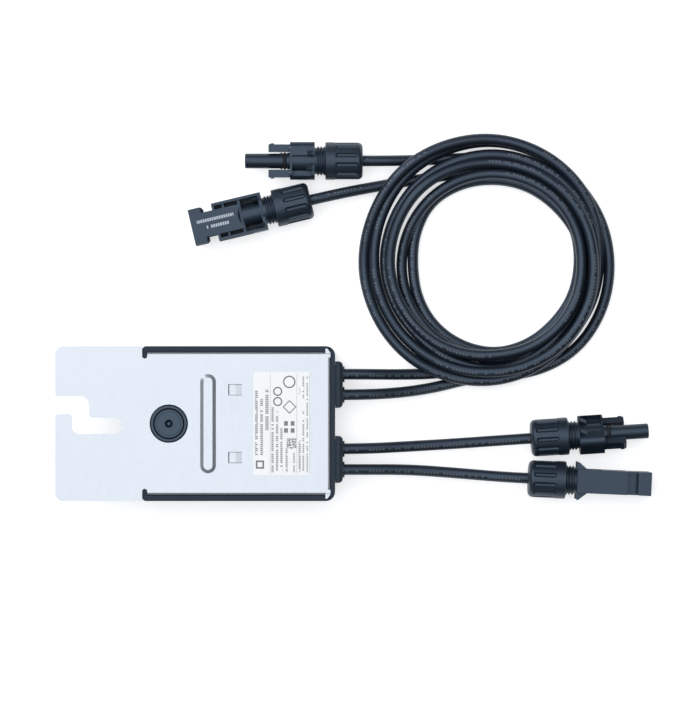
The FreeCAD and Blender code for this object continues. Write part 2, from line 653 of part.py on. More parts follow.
def make_wide_housing():
    """Flat-sided shell around the mating mouth, with side windows for the other half's latches."""
    half_y, half_z, inner_z, core_y = 8.85, 5.7, 4.5, 4.75
    rail_y0, rail_y1, rail_front = 8.0, 9.3, 48.0
    body_back, head_back = 34.0, 52.5
    core = box(body_back, WIDE_LENGTH, -core_y, core_y, -half_z, half_z)
    plates = [box(body_back, WIDE_LENGTH, -6.0, 6.0, *sorted((s * inner_z, s * half_z))) for s in (-1, 1)]
    core = joined([core] + plates).cut(upright(6.6, 29.8, 0, -half_z - 1, half_z + 1))
    head = box(head_back, WIDE_LENGTH, -half_y, half_y, -half_z, half_z)
    head = head.makeFillet(1.6, edges_at(head, lambda p: p.x < head_back + NEAR))
    for side in (-1, 1):
        y0, y1 = sorted((side * core_y, side * 8.0))
        head = head.cut(box(head_back - 1, WIDE_LENGTH + 1, y0, y1, -inner_z, inner_z))
        dimples = [upright(1.0, WIDE_LENGTH - 2.6, y, *sorted((side * (half_z - 0.4), side * (half_z + 1))))
                   for y in (-7.0, 7.0)]
        head = without(head, dimples)
    rails = [box(COLLAR_BACK, rail_front, *sorted((s * rail_y0, s * rail_y1)), -half_z, half_z)
             for s in (-1, 1)]
    webs = [box(34.0, 35.4, -rail_y1 + 0.1, rail_y1 - 0.1, -inner_z, inner_z),
            box(42.0, 43.0, -rail_y1 + 0.1, rail_y1 - 0.1, -inner_z, inner_z),
            box(rail_front - 1.2, rail_front, -rail_y1, rail_y1, -half_z, half_z)]
    collar = box(COLLAR_BACK, COLLAR_BACK + 1.6, -rail_y1, rail_y1, -half_z, half_z)
    barrel = rod(5.5, COLLAR_BACK, body_back + 0.4)
    ribs = ears(9.2, 5.6, 1.4, 5.2, 6.6)
    housing = joined([core, head, collar, barrel] + rails + webs + ribs)
    housing = joined([housing.cut(rod(4.0, THREAD_START, COLLAR_BACK + 1.0)), threaded_barrel()])
    mouth = rod(MOUTH_RADIUS, WIDE_LENGTH - 18.0, WIDE_LENGTH + 1.0)
    return without(housing, [mouth, rod(CORE_BORE, 15.0, 45.0)])


def make_wide_contact():
    """A crimped pin whose tip stays well inside the mouth."""
    tip, base = 52.0, 40.0
    pin = turned([(31.0, 0.0), (31.0, 2.6), (base, 2.6), (base, PIN_RADIUS), (tip - 1.4, PIN_RADIUS),
                  (tip - 0.5, 1.5), (tip, 0.7), (tip, 0.0)])
    return joined([contact_body(31.5), pin])


def make_connector(name, style):
    pieces = {
        "cap_nut": make_cap_nut(),
        "clamp_cage": make_clamp_cage(),
        "cable_seal": make_cable_seal(),
    }
    if style == "slim":
        pieces["housing"] = make_slim_housing()
        pieces["socket_contact"] = make_slim_contact()
        pieces["nose_seal"] = make_nose_seal()
        pieces["latch_arm_a"] = make_latch_arm(1)
        pieces["latch_arm_b"] = make_latch_arm(-1)
    else:
        pieces["housing"] = make_wide_housing()
        pieces["pin_contact"] = make_wide_contact()
    return {f"{name}_{piece}": shape for piece, shape in pieces.items()}


def connector_placement(name):
    _, rear, heading, roll = CONNECTORS[name]
    turn = Rotation(Vector(0, 0, 1), heading) * Rotation(Vector(1, 0, 0), roll)
    return Placement(rear, turn)


def cord_end_in(name):
    """Where the cable stops inside the connector."""
    end = connector_placement(name).multVec(Vector(CORD_END, 0, 0))
    return (end.x, end.y, end.z)


# --- cords ----------------------------------------------------------------------
def cord_path(points, name):
    """Straight runs joined by tangent arcs as large as the runs allow."""
    spots = [Vector(*p) for p in points]
    edges = []
    start = spots[0]
    for before, here, after in zip(spots, spots[1:], spots[2:]):
        into, out = (here - before), (after - here)
        shorter = min(into.Length, out.Length)
        into.normalize()
        out.normalize()
        turn = into.getAngle(out)
        cut_back = 0.45 * shorter
        radius = cut_back / math.tan(turn / 2)
        first, last = here - into * cut_back, here + out * cut_back
        inward = (out - into).normalize()
        centre = here + inward * math.hypot(radius, cut_back)
        middle = centre - inward * radius
        edges.append(Part.LineSegment(start, first).toShape())
        edges.append(Part.Arc(first, middle, last).toShape())
        print(f"{name}: turn {math.degrees(turn):5.1f} deg, radius {radius:6.1f} mm")
        start = last
    edges.append(Part.LineSegment(start, spots[-1]).toShape())
    return Part.Wire(edges), (spots[1] - spots[0])


def make_cord(points, name):
    path, direction = cord_path(points, name)
    ring = Part.Wire([Part.makeCircle(CORD_RADIUS, Vector(*points[0]), direction)])
    solid = path.makePipeShell([ring], True, False)
    expected = math.pi * CORD_RADIUS ** 2 * path.Length
    print(f"{name}: length {path.Length:6.1f} mm, volume {solid.Volume / expected:.4f} of section x length")
    return solid


def ellipse_prism(centre_x, centre_y, half_x, half_y, height):
    longer, shorter = max(half_x, half_y), min(half_x, half_y)
    rim = Part.Ellipse(Vector(0, 0, 0), longer, shorter).toShape()
    if half_y > half_x:
        rim.rotate(Vector(0, 0, 0), Vector(0, 0, 1), 90)
    rim.translate(Vector(centre_x, centre_y, 0))
    return Part.Face(Part.Wire(rim)).extrude(Vector(0, 0, height))


def make_output_coil():
    """The outer shape of the wound leads: a ring, thinner at its rims."""
    ring = ellipse_prism(*COIL_OUTER, COIL_HEIGHT).cut(ellipse_prism(*COIL_INNER, COIL_HEIGHT))
    rims = [e for e in ring.Edges if e.BoundBox.ZLength < NEAR]
    return ring.makeChamfer(COIL_RIM, rims)


def make_cords():
    coil = make_output_coil()
    cords = {
        "input_slim_lead": make_cord(INPUT_SLIM_ROUTE + [cord_end_in("input_slim")], "input_slim_lead"),
        "input_wide_lead": make_cord(INPUT_WIDE_ROUTE + [cord_end_in("input_wide")], "input_wide_lead"),
        "output_wide_lead": make_cord(UPPER_LEAD_ROUTE, "output_wide_lead"),
        "output_slim_lead": make_cord(LOWER_LEAD_ROUTE, "output_slim_lead"),
        "output_slim_tail": make_cord(SLIM_TAIL_ROUTE + [cord_end_in("output_slim")], "output_slim_tail"),
        "output_wide_tail": make_cord(WIDE_TAIL_ROUTE + [cord_end_in("output_wide")], "output_wide_tail"),
    }
    for name in ("output_slim_lead", "output_wide_lead", "output_slim_tail", "output_wide_tail"):
        cords[name] = outside_of(cords[name], coil)
    cords["output_coil"] = coil
    return cords


def outside_of(cord, coil):
    """The stretch of a cord that lies outside the coil's shape, ending on its surface."""
    pieces = cord.cut(coil).Solids
    return max(pieces, key=lambda solid: solid.Volume)


# --- the whole object -------------------------------------------------------------
def make_all():
    core, winding = make_main_inductor()
    choke_core, choke_winding = make_filter_choke()
    nodes = {
        "casing_tray": make_casing_tray(),
        "casing_lid": make_casing_lid(),
        "bracket_plate": make_bracket_plate(),
        "lock_button": make_lock_button(),
        "rating_label": make_rating_label(),
        "potting_layer": make_potting_layer(),
        "circuit_board": make_circuit_board(),
        "board_screws": make_board_screws(),
        "inductor_core": core,
        "inductor_winding": winding,
        "filter_choke_core": choke_core,
        "filter_choke_winding": choke_winding,
        "input_capacitors": make_capacitors(-20.0),
        "output_capacitors": make_capacitors(20.0),
        "power_transistors": make_power_transistors(),
        "thermal_pad": make_thermal_pad(),
        "heat_spreader": make_heat_spreader(),
        "control_chip": make_chip(-14.0, -16.5, 9.0, 1.6),
        "signal_chip": make_chip(-14.0, 16.5, 7.0, 1.4),
        "board_terminals": make_board_terminals(),
        "inner_conductors": make_inner_conductors(),
    }
    for name, centre in gland_centres().items():
        nodes[name] = make_gland(centre)
    for name, (style, _, _, _) in CONNECTORS.items():
        placement = connector_placement(name)
        for node, shape in make_connector(name, style).items():
            placed = shape.copy()
            placed.Placement = placement
            nodes[node] = placed
    nodes.update(make_cords())
    return nodes


os.makedirs("parts", exist_ok=True)
for node, shape in make_all().items():
    if not shape.isValid():
        print("invalid solid:", node)
    shape.exportStep(os.path.join("parts", f"{node}.step"))
    bounds = shape.BoundBox
    print(f"{node:28s} solids {len(shape.Solids)}  x {bounds.XMin:7.2f} {bounds.XMax:7.2f}"
          f"  y {bounds.YMin:7.2f} {bounds.YMax:7.2f}  z {bounds.ZMin:6.2f} {bounds.ZMax:6.2f}")
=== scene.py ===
"""Looks for a module power unit with plug-in leads, built around its CAD frame.

All lengths are in metres in the CAD frame: +X from the bracket towards the
leads, +Y across, +Z up out of the bracket's face.
"""

import json
import math

import bpy
import numpy as np
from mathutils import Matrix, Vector


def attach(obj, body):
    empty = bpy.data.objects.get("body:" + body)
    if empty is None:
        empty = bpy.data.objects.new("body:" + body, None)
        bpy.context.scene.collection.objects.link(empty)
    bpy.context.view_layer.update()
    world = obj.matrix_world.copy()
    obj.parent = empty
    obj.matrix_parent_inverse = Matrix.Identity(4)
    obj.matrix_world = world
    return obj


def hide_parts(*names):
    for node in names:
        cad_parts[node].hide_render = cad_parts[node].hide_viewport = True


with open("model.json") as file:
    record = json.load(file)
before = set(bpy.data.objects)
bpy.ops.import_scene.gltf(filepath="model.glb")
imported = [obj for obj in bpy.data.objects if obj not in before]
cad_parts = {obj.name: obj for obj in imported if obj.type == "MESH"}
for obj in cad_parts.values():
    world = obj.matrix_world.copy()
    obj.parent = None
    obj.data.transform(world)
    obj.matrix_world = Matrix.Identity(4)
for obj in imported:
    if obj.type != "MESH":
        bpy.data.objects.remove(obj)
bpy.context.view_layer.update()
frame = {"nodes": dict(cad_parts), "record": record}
NODES = frame["nodes"]
RECORD = frame["record"]

MM = 0.001
UP = np.array([0.0, 0.0, 1.0])

# --- camera --------------------------------------------------------------------
CAMERA_SPOT = (0.0717, 0.0337, 1.5)
FIELD_WIDTH = 0.3429


def add_camera():
    data = bpy.data.cameras.new("overhead_camera")
    data.sensor_fit = "HORIZONTAL"
    data.lens = data.sensor_width * CAMERA_SPOT[2] / FIELD_WIDTH
    camera = bpy.data.objects.new("overhead_camera", data)
    camera.location = CAMERA_SPOT
    bpy.context.scene.collection.objects.link(camera)
    bpy.context.scene.camera = camera


# --- cord routes, mm: the CAD routes' own points, with the coil's turns between --
CORD_DIAMETER = 5.3
CORD_START = 61.0
GLAND_Z = 12.5
OUTPUT_Y = 18.8
INPUT_Y = -17.7
PAIR_OFFSET = 5.05
AXIS_HEIGHT = 9.3
CORD_END = 11.0

LINE_ORDER = 3
LINE_STEPS = 8
TUBE_SIDES = 20

COIL_CENTRE = (144.4, 76.9)
COIL_START = -90.0
POINTS_PER_STATION = 2
STATIONS_PER_TURN = 8

# rear face, height and heading of each connector
CONNECTORS = {
    "output_slim": ((78.9, 128.2, AXIS_HEIGHT), 180.0),
    "output_wide": ((53.5, 109.1, AXIS_HEIGHT), 193.4),
    "input_slim": ((161.2, -7.6, AXIS_HEIGHT + 0.2), 3.7),
    "input_wide": ((159.9, -27.2, AXIS_HEIGHT), -2.5),
}

INPUT_SLIM_ROUTE = [
    (CORD_START, INPUT_Y + PAIR_OFFSET, GLAND_Z),
    (79.0, INPUT_Y + PAIR_OFFSET, GLAND_Z),
    (101.0, -11.6, 8.4),
    (125.0, -10.2, 7.0),
    (151.2, -8.25, 9.5),
]
INPUT_WIDE_ROUTE = [
    (CORD_START, INPUT_Y - PAIR_OFFSET, GLAND_Z),
    (79.0, INPUT_Y - PAIR_OFFSET, GLAND_Z),
    (101.0, -22.9, 8.4),
    (124.5, -24.6, 7.0),
    (149.9, -26.75, 9.3),
]
UPPER_LEAD_ROUTE = [
    (CORD_START, OUTPUT_Y + PAIR_OFFSET, GLAND_Z),
    (79.0, OUTPUT_Y + PAIR_OFFSET, GLAND_Z),
    (97.5, 23.6, 6.9),
    (114.5, 24.0, 3.0),
    (130.0, 26.2, 2.75),
]
LOWER_LEAD_ROUTE = [
    (CORD_START, OUTPUT_Y - PAIR_OFFSET, GLAND_Z),
    (79.0, OUTPUT_Y - PAIR_OFFSET, GLAND_Z),
    (97.5, 14.7, 6.9),
    (114.5, 17.2, 3.0),
    (131.0, 21.5, 2.75),
]
SLIM_TAIL_ROUTE = [
    (127.0, 129.9, 2.75),
    (107.9, 128.9, 4.4),
    (87.9, 128.2, AXIS_HEIGHT),
]
WIDE_TAIL_ROUTE = [
    (121.0, 121.6, 2.75),
    (102.5, 118.9, 2.75),
    (82.5, 115.4, 4.9),
    (62.25, 111.2, AXIS_HEIGHT),
]

# (radius, height) of each cord at every eighth of a turn, from the coil's bottom
WIDE_COIL = [
    (47.9, 2.7), (49.6, 2.7), (50.4, 2.7), (56.5, 7.95), (62.0, 7.95), (65.6, 13.6), (65.1, 2.9),
    (61.9, 8.4), (55.9, 7.4), (49.9, 8.0), (48.4, 7.8), (52.0, 7.4), (54.6, 7.5), (55.6, 8.3),
    (54.6, 2.7), (50.9, 6.4), (50.6, 7.3), (44.7, 7.9), (43.25, 7.3), (41.2, 6.9), (42.4, 2.7),
    (44.6, 2.7), (40.4, 2.7), (42.0, 2.7), (42.4, 2.7), (39.8, 2.7), (40.6, 2.7), (44.2, 2.7),
    (47.7, 2.7),
]
SLIM_COIL = [
    (53.3, 2.7), (56.4, 2.7), (55.7, 2.7), (56.4, 2.7), (61.2, 2.7), (62.6, 9.3), (59.9, 5.4),
    (56.4, 7.2), (51.8, 12.4), (49.6, 13.3), (47.0, 12.8), (48.6, 11.5), (50.35, 7.3), (53.2, 12.9),
    (52.4, 7.6), (48.6, 10.9), (43.3, 12.6), (42.4, 13.0), (41.2, 12.2), (43.6, 11.2), (45.05, 7.4),
    (46.1, 7.9), (46.4, 2.7), (45.9, 6.2), (45.15, 7.3), (44.8, 2.7), (45.9, 2.7), (49.5, 2.7),
    (53.0, 2.7),
]


def coil_turns(stations):
    """Points round the coil: radius and height ease by a cosine from station to station.

    The radius is raised a little, because the smooth line runs inside its control points:
    it passes 3/4 of one point plus 1/8 of each neighbour.
    """
    stations = np.array(stations)
    step = np.arange((len(stations) - 1) * POINTS_PER_STATION + 1) / POINTS_PER_STATION
    before = np.minimum(step.astype(int), len(stations) - 2)
    ease = ((1 - np.cos(math.pi * (step - before))) / 2)[:, None]
    radius, height = (stations[before] * (1 - ease) + stations[before + 1] * ease).T
    between_points = 2 * math.pi / (STATIONS_PER_TURN * POINTS_PER_STATION)
    radius = radius / (0.75 + 0.25 * math.cos(between_points))
    angle = np.radians(COIL_START + 360 / STATIONS_PER_TURN * step)
    x = COIL_CENTRE[0] + radius * np.cos(angle)
    y = COIL_CENTRE[1] + radius * np.sin(angle)
    return [tuple(point) for point in np.stack([x, y, height], axis=1)]


def cord_end_in(name):
    """Where the cable stops inside the connector."""
    (x, y, z), heading = CONNECTORS[name]
    along = math.radians(heading)
    return (x + CORD_END * math.cos(along), y + CORD_END * math.sin(along), z)


def smooth_line(name, route):
    """The route's NURBS line as an array of points, read from a curve with no bevel."""
    curve = bpy.data.curves.new(name, "CURVE")
    curve.dimensions = "3D"
    curve.resolution_u = LINE_STEPS
    spline = curve.splines.new("NURBS")
    spline.points.add(len(route) - 1)
    points = np.ones((len(route), 4))
    points[:, :3] = np.array(route) * MM
    spline.points.foreach_set("co", points.ravel())
    spline.order_u = LINE_ORDER
    spline.use_endpoint_u = True
    holder = bpy.data.objects.new(name, curve)
    bpy.context.scene.collection.objects.link(holder)
    mesh = bpy.data.meshes.new_from_object(holder)
    line = np.empty(len(mesh.vertices) * 3)
    mesh.vertices.foreach_get("co", line)
    bpy.data.objects.remove(holder)
    bpy.data.curves.remove(curve)
    bpy.data.meshes.remove(mesh)
    return line.reshape(-1, 3)


def new_piece(name, points, faces, uv=None):
    """A smooth-shaded mesh object from points, faces and, where given, a UV map named surface."""
    mesh = bpy.data.meshes.new(name)
    mesh.from_pydata(np.asarray(points).tolist(), [], faces)
    mesh.polygons.foreach_set("use_smooth", np.ones(len(faces), bool))
    if uv is not None:
        layer = mesh.uv_layers.new(name="surface")
        layer.data.foreach_set("uv", np.asarray(uv, float).ravel())
    piece = bpy.data.objects.new(name, mesh)
    bpy.context.scene.collection.objects.link(piece)
    return piece


def unit(vectors):
    return vectors / np.linalg.norm(vectors, axis=-1, keepdims=True)


def tube_along(name, line, radius):
    """A closed round tube: point = line + radius * (side * cos a + lift * sin a).

    Side is level and square to the line, lift is square to both.  The UV map
    holds the share of the way round and the distance along, in metres.
    """
    around = TUBE_SIDES
    along = unit(np.gradient(line, axis=0))
    side = unit(np.cross(along, UP))
    lift = np.cross(side, along)
    angle = np.arange(around) * 2 * math.pi / around
    spoke = side[:, None] * np.cos(angle)[:, None] + lift[:, None] * np.sin(angle)[:, None]
    rings = (line[:, None] + radius * spoke).reshape(-1, 3)
    points = np.vstack([rings, line[0], line[-1]])
    count = len(line)
    i, j = np.meshgrid(np.arange(count - 1), np.arange(around), indexing="ij")
    here, beside = i * around + j, i * around + (j + 1) % around
    quads = np.stack([here, here + around, beside + around, beside], axis=-1).reshape(-1, 4)
    j = np.arange(around)
    first, last = count * around, count * around + 1
    start_cap = np.stack([np.full(around, first), j, (j + 1) % around], axis=-1)
    base = (count - 1) * around
    end_cap = np.stack([np.full(around, last), base + (j + 1) % around, base + j], axis=-1)
    distance = np.r_[0, np.cumsum(np.linalg.norm(np.diff(line, axis=0), axis=1))]
    turn = np.stack([j, j, j + 1, j + 1], axis=-1)[None] / around
    reach = np.stack([distance[:-1], distance[1:], distance[1:], distance[:-1]], axis=-1)[:, None]
    uv = np.stack(np.broadcast_arrays(turn, reach), axis=-1).reshape(-1, 2)
    cap_corners = 3 * (len(start_cap) + len(end_cap))
    uv = np.vstack([uv, np.zeros((cap_corners, 2))])
    return new_piece(name, points, quads.tolist() + start_cap.tolist() + end_cap.tolist(), uv)


def add_cord(name, route, connector, replaced):
    """One cable, from inside its gland to inside its connector."""
    route = route + [cord_end_in(connector)]
    line = smooth_line(name, route)
    piece = tube_along(name, line, CORD_DIAMETER * MM / 2)
    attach(piece, "root")
    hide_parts(*replaced)
    return piece


def add_cords():
    return [
        add_cord("output_wide_cord", UPPER_LEAD_ROUTE + coil_turns(WIDE_COIL) + WIDE_TAIL_ROUTE,
                 "output_wide",
                 ["output_wide_lead", "output_wide_tail", "output_coil"]),
        add_cord("output_slim_cord", LOWER_LEAD_ROUTE + coil_turns(SLIM_COIL) + SLIM_TAIL_ROUTE,
                 "output_slim",
                 ["output_slim_lead", "output_slim_tail"]),
        add_cord("input_slim_cord", INPUT_SLIM_ROUTE,
                 "input_slim", ["input_slim_lead"]),
        add_cord("input_wide_cord", INPUT_WIDE_ROUTE,
                 "input_wide", ["input_wide_lead"]),
    ]


# --- dark webs in the wide housings' slots, mm: X forward, Y across, Z up ----------
WEB_X = (25.4, 46.9)
WEB_Y = (4.6, 8.1)
WEB_HALF = 0.7
PLUG_X = (34.2, 37.4)
PLUG_Y = (-4.6, 4.6)
PLUG_TOP = 3.6
BOX_FACES = [[0, 1, 3, 2], [4, 6, 7, 5], [0, 4, 5, 1], [2, 3, 7, 6], [0, 2, 6, 4], [1, 5, 7, 3]]
WIDE_ROLLS = {"output_wide": 0.0, "input_wide": 90.0}


def box_corners(x, y, z):
    """The box's eight corners: every pairing of one x, one y and one z."""
    grid = np.meshgrid(np.sort(x), np.sort(y), np.sort(z), indexing="ij")
    return np.stack(grid, axis=-1).reshape(-1, 3)


def add_slot_webs(connector):
    """A web in each side slot and a plug under the recess.

    The boxes are rolled about X, then turned about Z, then moved to the rear face.
    """
    boxes = [box_corners(WEB_X, side * np.array(WEB_Y), (-WEB_HALF, WEB_HALF)) for side in (-1, 1)]
    boxes.append(box_corners(PLUG_X, PLUG_Y, (-PLUG_TOP, PLUG_TOP)))
    x, y, z = np.vstack(boxes).T
    rear, heading = CONNECTORS[connector]
    roll, turn = math.radians(WIDE_ROLLS[connector]), math.radians(heading)
    y, z = y * math.cos(roll) - z * math.sin(roll), y * math.sin(roll) + z * math.cos(roll)
    x, y = x * math.cos(turn) - y * math.sin(turn), x * math.sin(turn) + y * math.cos(turn)
    points = (np.stack([x, y, z], axis=1) + np.array(rear)) * MM
    faces = [[corner + len(box) * i for corner in face]
             for i, box in enumerate(boxes) for face in BOX_FACES]
    piece = new_piece(connector + "_slot_webs", points, faces)
    piece.data.polygons.foreach_set("use_smooth", np.zeros(len(faces), bool))
    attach(piece, "root")
    return piece


# --- materials -------------------------------------------------------------------
class Value:
    """A shader number: arithmetic on it adds the Math nodes that work it out."""

    def __init__(self, finish, socket):
        self.finish = finish
        self.socket = socket

    def math(self, operation, first, second=0.0):
        return self.finish.add("Math", {"operation": operation}, {0: first, 1: second})

    def __add__(self, other):
        return self.math("ADD", self, other)

    __radd__ = __add__

    def __mul__(self, other):
        return self.math("MULTIPLY", self, other)

    __rmul__ = __mul__

    def __sub__(self, other):
        return self.math("SUBTRACT", self, other)

    def __rsub__(self, other):
        return self.math("SUBTRACT", other, self)

    def __truediv__(self, other):
        return self.math("DIVIDE", self, other)

    def __gt__(self, other):
        return self.math("GREATER_THAN", self, other)

    def __lt__(self, other):
        return self.math("LESS_THAN", self, other)

    def __abs__(self):
        return self.math("ABSOLUTE", self)

    def fraction(self):
        return self.math("FRACT", self)

    def floor(self):
        return self.math("FLOOR", self)

    def root(self):
        return self.math("SQRT", self)

    def or_more(self, other):
        return self.math("MAXIMUM", self, other)

    def near(self, centre, half_width):
        """1 where the number is within half_width of centre, else 0."""
        return abs(self - centre) < half_width


class Finish:
    """A material, and the one method that adds any node to it."""

    def __init__(self, name):
        self.material = bpy.data.materials.new(name)
        self.material.use_nodes = True
        self.tree = self.material.node_tree
        self.shader = next(n for n in self.tree.nodes if n.type == "BSDF_PRINCIPLED")

    def add(self, kind, settings=None, inputs=None, output=0):
        """Add a node: its settings first, then its sockets' values or links."""
        node = self.tree.nodes.new("ShaderNode" + kind)
        for key, value in (settings or {}).items():
            setattr(node, key, value)
        for key, value in (inputs or {}).items():
            self.feed(node.inputs[key], value)
        return Value(self, node.outputs[output])

    def feed(self, socket, value):
        if isinstance(value, Value):
            self.tree.links.new(value.socket, socket)
        else:
            socket.default_value = value

    def set(self, **inputs):
        """Feed the Principled shader: set(Base_Color=..., Roughness=...)."""
        for key, value in inputs.items():
            self.feed(self.shader.inputs[key.replace("_", " ")], value)

    def place(self):
        """The Object coordinate."""
        return self.add("TexCoord", output="Object")

    def axes(self, place=None):
        """The X, Y and Z of a place as three numbers."""
        parts = self.add("SeparateXYZ", inputs={0: place or self.place()})
        return [Value(self, parts.socket.node.outputs[k]) for k in range(3)]

    def scaled(self, x, y, z):
        return self.add("Mapping", inputs={"Vector": self.place(), "Scale": (x, y, z)})

    def noise(self, scale, detail, place=None):
        return self.add("TexNoise",
                        inputs={"Vector": place or self.place(), "Scale": scale, "Detail": detail})

    def mix(self, factor, first, second):
        """A colour between two colours."""
        node = self.tree.nodes.new("ShaderNodeMix")
        node.data_type = "RGBA"
        self.feed(node.inputs[0], factor)
        for socket, colour in zip((node.inputs[6], node.inputs[7]), (first, second)):
            self.feed(socket, colour if isinstance(colour, Value) else (*colour, 1))
        return Value(self, node.outputs[2])

    def pair(self, first, second):
        return self.add("CombineXYZ", inputs={0: first, 1: second})

    def chance(self, first, second):
        """A random number for each pair of whole numbers."""
        return self.add("TexWhiteNoise", {"noise_dimensions": "2D"},
                        {"Vector": self.pair(first, second)})

    def bump(self, height, distance, strength):
        return self.add("Bump",
                        inputs={"Height": height, "Distance": distance, "Strength": strength})

    def dull(self, gloss):
        """Tint the reflections blue-grey and set how strong they are."""
        self.shader.inputs["Specular Tint"].default_value = DARK_SHEEN
        self.shader.inputs["Specular IOR Level"].default_value = gloss


DARK_SHEEN = (0.52, 0.69, 0.94, 1)
CASING_GLOSS = 0.34
CONNECTOR_GLOSS = 0.74
SHEATH_GLOSS = 0.85
# colour of the painted shade in the connector's recesses and in the button's rings
SHADOW = (0.001, 0.002, 0.004)
CONNECTOR_TONES = ((0.004, 0.008, 0.014), (0.011, 0.017, 0.026))
BUTTON_TONES = ((0.040, 0.058, 0.080), (0.056, 0.077, 0.104))
GLAND_TONES = ((0.014, 0.018, 0.024), (0.024, 0.030, 0.038))
SPARK_RELIEF = 0.00003
SPARK_STRENGTH = 0.6

# print on the sheath: letter and word spacing in metres, then its middle and half width
# as shares of the way round
SHEATH_LETTER = 0.0016
SHEATH_WORD = 0.019
SHEATH_BAND = (0.20, 0.03)
SHEATH_INK = 0.15

# painted shade along the line where the bracket's sheet starts to bend down, metres
BEND_SHADE_Y = 0.0339
BEND_SHADE_HALF = 0.0003
BEND_SHADE_ABOVE = 0.0268
BEND_SHADE_FROM = -0.0255


def plastic_skin(name, gloss, grain=900.0):
    """What every moulded piece has: dull sheen, a fine spark texture and a slow drift."""
    finish = Finish(name)
    finish.dull(gloss)
    drift = finish.noise(38.0, 3.0)
    texture = finish.noise(grain * 4, 2.0)
    finish.set(Normal=finish.bump(texture, SPARK_RELIEF, SPARK_STRENGTH))
    return finish, drift, texture


def moulded_plastic(name, dark, light, roughness, gloss=CASING_GLOSS, grain=900.0):
    """Plain moulded plastic: the tone and the gloss both drift slightly."""
    finish, drift, texture = plastic_skin(name, gloss, grain)
    finish.set(Base_Color=finish.mix(drift, dark, light),
               Roughness=roughness + (drift - 0.5) * 0.14 + (texture - 0.5) * 0.10)
    return finish


def cable_sheath(name):
    """Satin cable jacket: faint drawn rings, a dull bloom and a row of pale plain dashes.

    A dash is drawn for most letter places, inside most of the word places along the cable.
    """
    finish = Finish(name)
    finish.dull(SHEATH_GLOSS)
    turn, along, _ = finish.axes(finish.add("UVMap", {"uv_map": "surface"}))
    drift = finish.noise(26.0, 3.0)
    pull = finish.noise(1.0, 1.0, finish.pair(turn * 3.0, along * 1400.0))
    letter, word = along / SHEATH_LETTER, along / SHEATH_WORD
    printed = (finish.chance(word.floor(), 3.0) > 0.42) * (finish.chance(letter.floor(), 1.0) > 0.3)
    mark = (letter.fraction() < 0.6) * turn.near(*SHEATH_BAND) * printed
    sheath = finish.mix(drift, (0.003, 0.005, 0.009), (0.007, 0.010, 0.016))
    finish.set(Base_Color=finish.mix(mark * SHEATH_INK, sheath, (0.42, 0.46, 0.50)),
               Roughness=0.46 + (drift - 0.5) * 0.22 + (pull - 0.5) * 0.06,
               Normal=finish.bump(pull, 0.00002, 0.5))
    return finish


def mill_sheet(name):
    """Bright rolled sheet: fine streaks along Y, slow patches, and a painted shade line at each bend."""
    finish = Finish(name)
    streak = finish.noise(60.0, 3.0, finish.scaled(x=26.0, y=0.8, z=26.0))
    patch = finish.noise(9.0, 2.0)
    fleck = finish.noise(420.0, 2.0)
    lengthwise, across, up = finish.axes()
    on_top = (up > BEND_SHADE_ABOVE) * (lengthwise > BEND_SHADE_FROM)
    # painted shade: a grey line on the top face where the sheet starts to bend down
    bend_shade = abs(across).near(BEND_SHADE_Y, BEND_SHADE_HALF) * on_top
    tone = patch * 0.6 + streak * 0.25 + fleck * 0.15
    sheet = finish.mix(tone, (0.390, 0.428, 0.478), (0.460, 0.494, 0.542))
    finish.set(Base_Color=finish.mix(bend_shade * 0.55, sheet, (0.16, 0.18, 0.20)),
               Metallic=0.7,
               Roughness=0.36 + (streak - 0.5) * 0.12 + (fleck - 0.5) * 0.08,
               Normal=finish.bump(streak * 0.5 + fleck * 0.5, 0.000015, 0.35))
    return finish


def bare_metal(name, dark, light, roughness):
    """Bare metal with a slow tone drift and finely uneven gloss."""
    finish = Finish(name)
    drift = finish.noise(60.0, 3.0)
    fleck = finish.noise(900.0, 2.0)
    finish.set(Base_Color=finish.mix(drift, dark, light), Metallic=1.0,
               Roughness=roughness + (fleck - 0.5) * 0.16,
               Normal=finish.bump(fleck, 0.00001, 0.4))
    return finish


# --- the label's print, mm in X and Y ----------------------------------------------
# rows: middle, from, to, half height
LABEL_ROWS = [
    (27.4, -15.2, 16.5, 0.65), (29.9, -15.2, 12.0, 0.65), (32.5, -3.3, 16.5, 0.8),
    (35.2, -23.5, 8.0, 0.55), (37.4, -23.5, 6.0, 0.55), (39.5, -23.5, -2.2, 0.55),
    (42.0, -23.5, -9.5, 0.5), (45.6, -23.5, -14.0, 0.4), (48.3, -23.5, -8.0, 0.5),
    (48.3, 14.0, 17.5, 0.4), (50.1, -23.5, 6.0, 0.4), (50.1, 12.0, 23.0, 0.4), (52.0, -23.5, 23.0, 0.35),
]
LABEL_RULES = [34.1, 46.9, 53.1]
RULE_HALF = 0.12
RULE_REACH = 24.2
# rings: centre and radius
LABEL_RINGS = [(43.3, 20.2, 2.7), (37.7, 15.6, 1.9), (37.7, 10.7, 1.9)]
RING_HALF = 0.32
DIAMOND = (43.4, 8.1)
DIAMOND_REACH = 3.0
DIAMOND_HALF = 0.35
BLOCKS = (43.3, -1.6)
BLOCK_OUT = (1.6, 1.7)
BLOCK_HALF = (0.95, 1.1)
CODE = (44.4, -9.5)
CODE_HALF = (2.3, 2.6)
CODE_CELL = 0.42
SQUARE = (29.1, -19.8)
SQUARE_REACH = 1.6
SQUARE_HALF = 0.4
ROW_PITCH = 2.1
LETTER = 0.95
LETTER_SHARE = 0.74

# --- the connector's print, mm forward and across: middle and half size of each row --
PRINT_ROWS = [((47.5, 9.2), (-1.9, 0.75)), ((46.8, 5.6), (1.5, 0.75))]
PRINT_PITCH = 3.0
PRINT_LETTER = 1.15
PRINT_ABOVE = 5.4
# painted shade: the recesses below this height and beyond this distance along, mm, are darkened
RECESS_SHADE_BELOW = 4.4
RECESS_SHADE_FROM = 31.0

